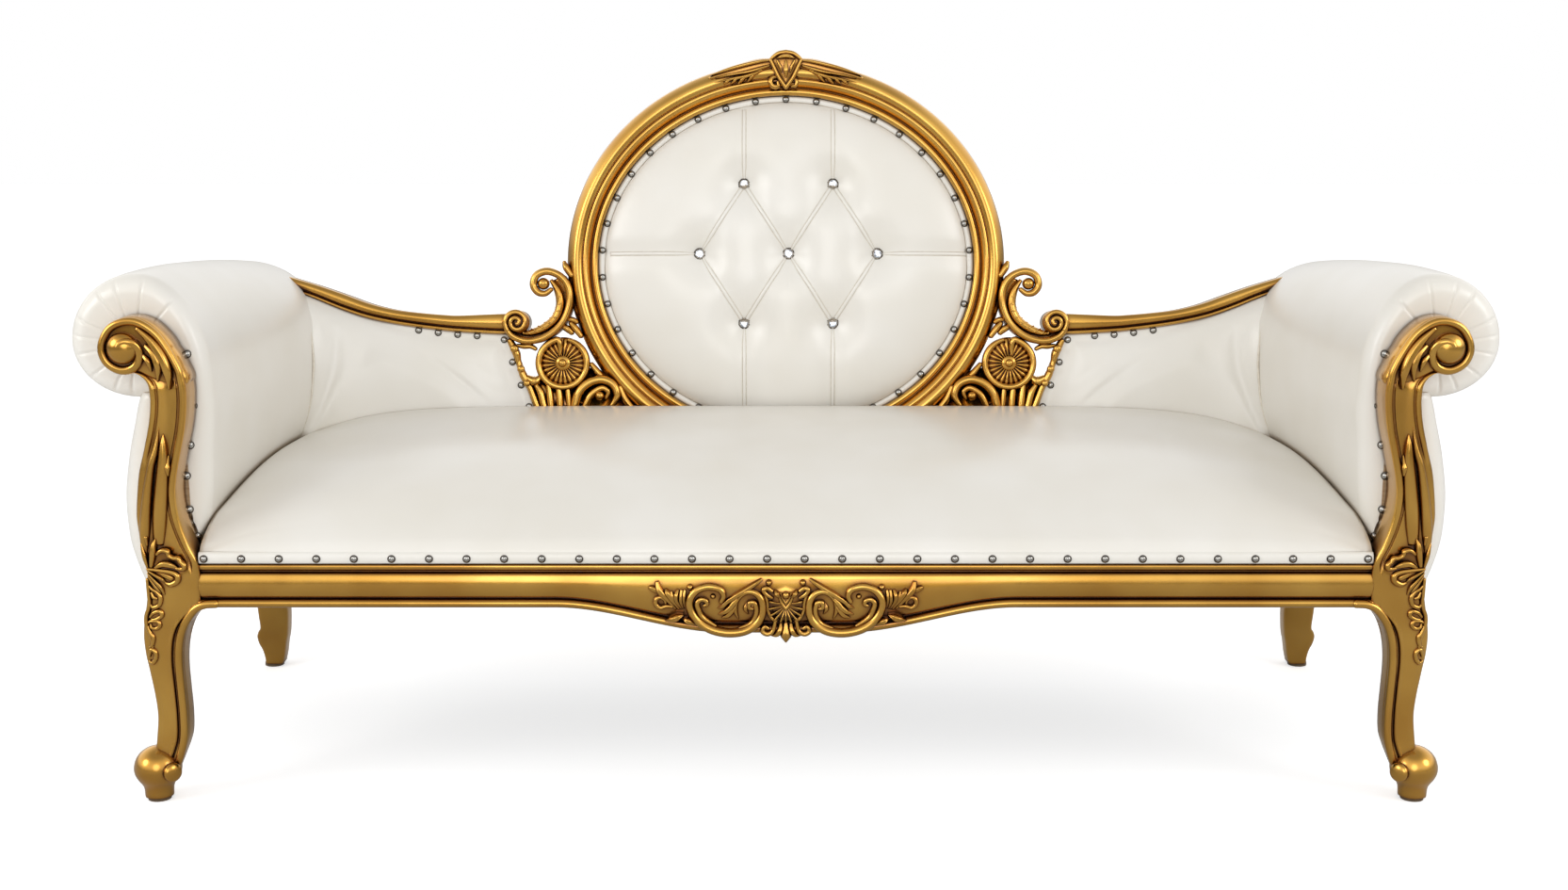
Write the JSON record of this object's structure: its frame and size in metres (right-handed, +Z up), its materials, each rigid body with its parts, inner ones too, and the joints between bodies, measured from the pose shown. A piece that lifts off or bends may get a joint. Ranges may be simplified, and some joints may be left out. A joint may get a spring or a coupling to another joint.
{
  "type": "loveseat",
  "caption": "Carved gilt loveseat with an oval button-tufted back, low padded wings, rolled arms with scrolled posts and a crowned leather seat with a nailhead border.",
  "frame": {"origin": "on the floor, under the middle of the settee's bounding box", "axes": "+X along the settee's width, to the right as seen from the front; +Y towards its back; +Z up"},
  "size_m": [1.846, 0.672, 0.9694],
  "materials": {
    "gilt": "antique gold leaf over carved wood",
    "leather": "satin ivory",
    "frame_wood": "sawn, unfinished",
    "nailheads": "polished",
    "spring_steel": "drawn wire",
    "crystal": "cut and polished",
    "foam": "open-cell foam",
    "burlap": "woven",
    "dust_cloth": "thin non-woven",
    "glides": "moulded nylon"
  },
  "bodies": {
    "root": {"front_leg_left": "gilt", "front_leg_right": "gilt", "rear_leg_left": "gilt", "rear_leg_right": "gilt", "front_rail": "gilt", "apron_bead": "gilt", "rear_rail": "gilt", "medallion_frame": "gilt", "crest_carving": "gilt", "spandrel_left": "gilt", "spandrel_right": "gilt", "wing_rail_left": "gilt", "wing_rail_right": "gilt", "apron_carving": "gilt", "knee_carving_left": "gilt", "knee_carving_right": "gilt", "seat_cover": "leather", "seat_border": "leather", "arm_pad_left": "leather", "arm_pad_right": "leather", "outside_arm_left": "leather", "outside_arm_right": "leather", "medallion_pad": "leather", "medallion_border": "leather", "medallion_back_panel": "leather", "wing_pad_left": "leather", "wing_pad_right": "leather", "outside_back_left": "leather", "outside_back_right": "leather", "side_rail_left": "frame_wood", "side_rail_right": "frame_wood", "seat_braces": "frame_wood", "corner_blocks": "frame_wood", "spring_ledger": "frame_wood", "arm_roll_rail_left": "frame_wood", "arm_roll_rail_right": "frame_wood", "arm_tack_rail_left": "frame_wood", "arm_tack_rail_right": "frame_wood", "arm_board_left": "frame_wood", "arm_board_right": "frame_wood", "medallion_board": "frame_wood", "wing_board_left": "frame_wood", "wing_board_right": "frame_wood", "seat_nails": "nailheads", "medallion_nails": "nailheads", "arm_nails_left": "nailheads", "arm_nails_right": "nailheads", "wing_nails_left": "nailheads", "wing_nails_right": "nailheads", "button_settings": "nailheads", "sinuous_springs": "spring_steel", "spring_clips": "spring_steel", "corner_block_screws": "spring_steel", "button_stones": "crystal", "seat_foam": "foam", "seat_burlap": "burlap", "dust_cover": "dust_cloth", "foot_glides": "glides"}
  },
  "joints": []
}
